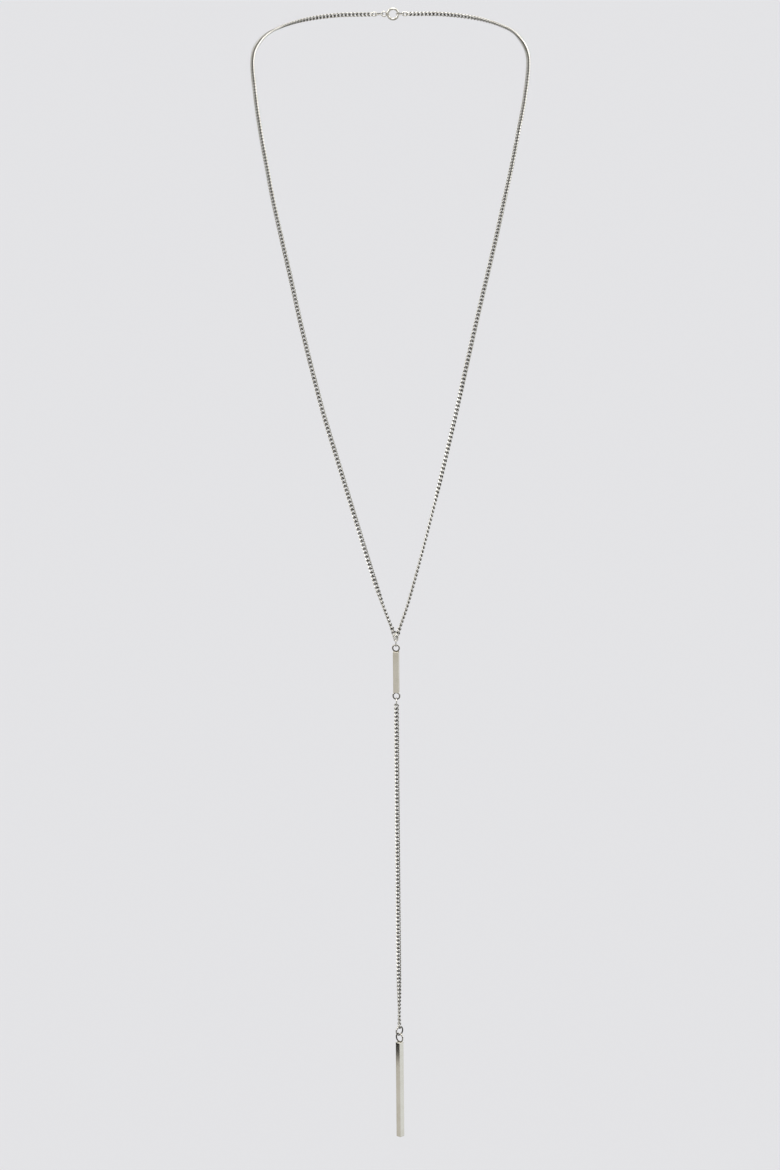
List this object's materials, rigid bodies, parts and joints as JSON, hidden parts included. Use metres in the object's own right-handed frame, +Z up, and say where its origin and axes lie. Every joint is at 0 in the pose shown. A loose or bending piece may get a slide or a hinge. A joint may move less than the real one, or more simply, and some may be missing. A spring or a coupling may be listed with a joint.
{
  "type": "y necklace",
  "caption": "Y necklace: a fine curb chain loop whose two strands meet at a ring on the chest, with a drop of a short square bar, chain and a long square bar pendant.",
  "frame": {"origin": "middle of the neck opening, level with the sides of the neck, where the loop sits when it is worn", "axes": "+Z up along the hanging drop, +Y towards the nape and the clasp, -Y towards the chest, +X to the wearer's left"},
  "size_m": [0.1252, 0.206, 0.4724],
  "materials": {
    "chain": "polished warm silver plate on fine links",
    "findings": "polished warm silver plate on rings and clasp",
    "bars": "polished warm silver plate with a faint brushed grain along the bars"
  },
  "bodies": {
    "root": {"neck_chain_left": "chain", "neck_chain_right": "chain", "left_end_link": "chain", "right_end_link": "chain", "left_clasp_link": "chain", "right_clasp_link": "chain", "left_clasp_ring": "findings", "right_clasp_ring": "findings", "clasp": "findings", "junction_ring": "findings"},
    "drop": {"upper_bar": "bars", "chain_ring": "findings", "drop_chain": "chain", "pendant_ring": "findings"},
    "pendant": {"pendant_bar": "bars"}
  },
  "joints": [
    {"name": "drop_swing", "type": "hinge", "parent": "root", "child": "drop", "pos_m": [0, -0.138, -0.2321], "axis": [0, 1, 0], "range_deg": [-60, 60]},
    {"name": "pendant_swing", "type": "hinge", "parent": "drop", "child": "pendant", "pos_m": [0, -0.138, -0.40865], "axis": [0.7071, 0.7071, 0], "range_deg": [-90, 90]}
  ]
}
